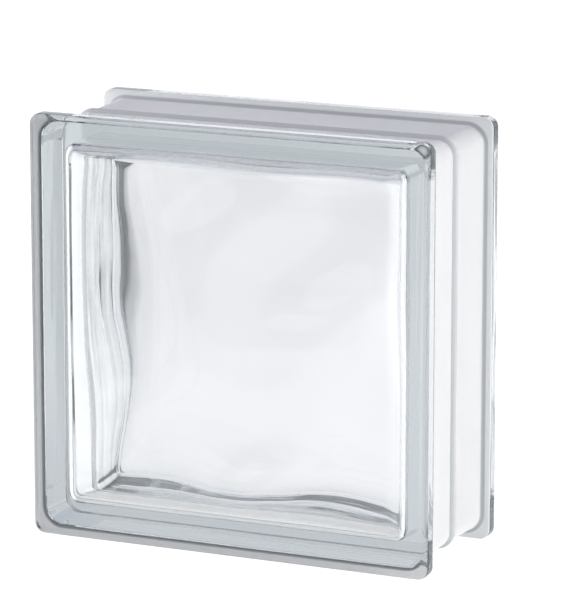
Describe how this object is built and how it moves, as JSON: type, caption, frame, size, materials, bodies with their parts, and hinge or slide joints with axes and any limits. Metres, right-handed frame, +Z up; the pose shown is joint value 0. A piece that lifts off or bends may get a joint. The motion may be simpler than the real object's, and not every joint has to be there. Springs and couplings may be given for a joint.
{
  "type": "glass block",
  "caption": "Hollow glass building block: flat outer faces, wavy inner faces, a raised rim round each face and a mortar channel with a fused seam round its edges.",
  "frame": {"origin": "centre of the bottom of the block's box, on the floor between its two rims", "axes": "+Z up, -Y out of the front face that the picture shows, +X to the right of that face"},
  "size_m": [0.19, 0.08, 0.19],
  "materials": {
    "clear_glass": "clear pressed soda-lime glass, fire-polished, grey-green tint in its edges, with a thin white edge coat in the mortar channel"
  },
  "bodies": {
    "root": {"glass_block": "clear_glass"}
  },
  "joints": []
}
